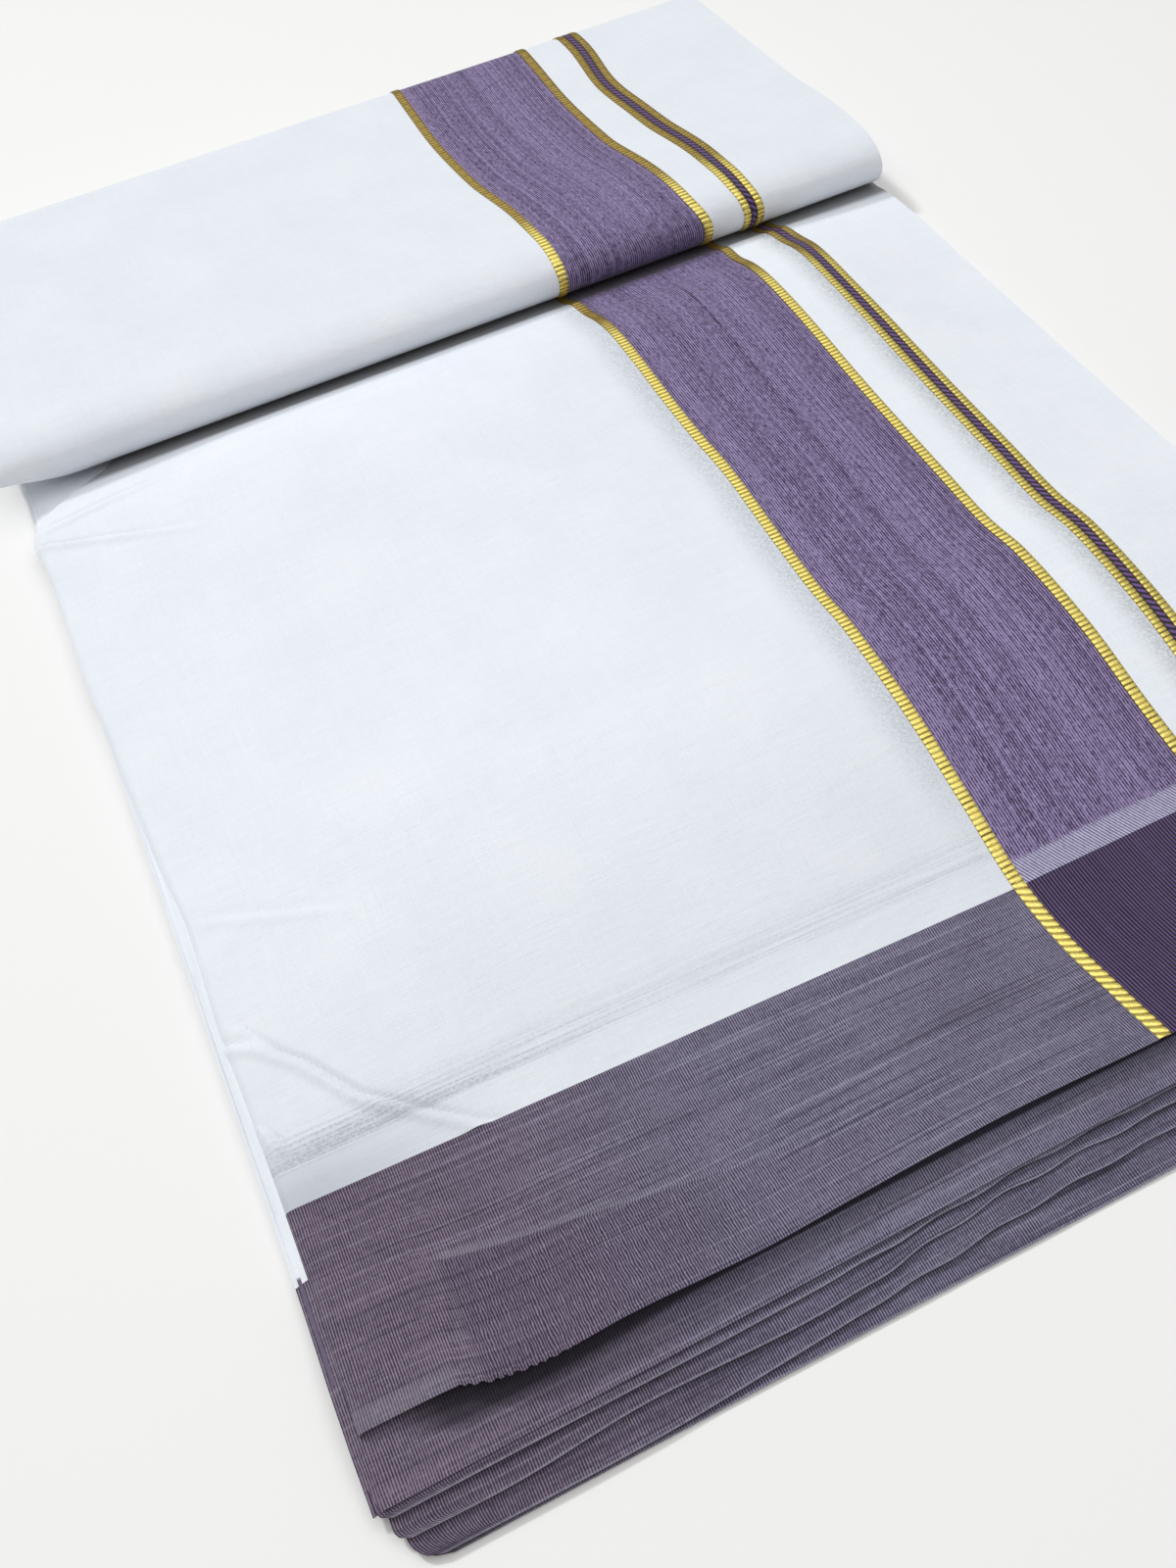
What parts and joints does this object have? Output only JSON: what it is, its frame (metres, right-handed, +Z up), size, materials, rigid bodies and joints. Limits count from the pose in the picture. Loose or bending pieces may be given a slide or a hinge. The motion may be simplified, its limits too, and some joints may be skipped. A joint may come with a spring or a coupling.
{
  "type": "folded dhoti cloth",
  "caption": "White cotton dhoti folded flat in a long layered strip, its far part rolled up flat into a pack, with a mauve band, gold lines and fanned cut ends with woven borders.",
  "frame": {"origin": "on the floor under the middle of the whole", "axes": "+X across the cloth towards the bordered side, +Y along it from the cut ends to the pack, +Z up"},
  "size_m": [0.3318, 0.484, 0.023],
  "materials": {
    "white_cotton": "plain woven cotton",
    "mauve_band": "woven band, matt",
    "end_border": "woven end border, ribbed, matt",
    "plum": "dense ribbed weave",
    "zari": "metallic gold thread"
  },
  "bodies": {
    "root": {"open_field": "white_cotton", "open_zari_left": "zari", "open_band": "mauve_band", "open_zari_right": "zari", "open_gap": "white_cotton", "open_stripe_zari_left": "zari", "open_stripe_cord": "plum", "open_stripe_zari_right": "zari", "open_margin": "white_cotton", "open_end_field": "end_border", "open_end_band": "plum", "open_end_gap": "end_border", "open_end_margin": "end_border", "second_end_border": "end_border", "second_field": "white_cotton", "hidden_strip_layers": "white_cotton", "leaf_3": "end_border", "leaf_4": "end_border", "leaf_5": "end_border", "leaf_6": "end_border", "pack_field": "white_cotton", "pack_zari_left": "zari", "pack_band": "mauve_band", "pack_zari_right": "zari", "pack_gap": "white_cotton", "pack_stripe_zari_left": "zari", "pack_stripe_cord": "plum", "pack_stripe_zari_right": "zari", "pack_margin": "white_cotton", "hidden_pack_turns": "white_cotton"}
  },
  "joints": []
}
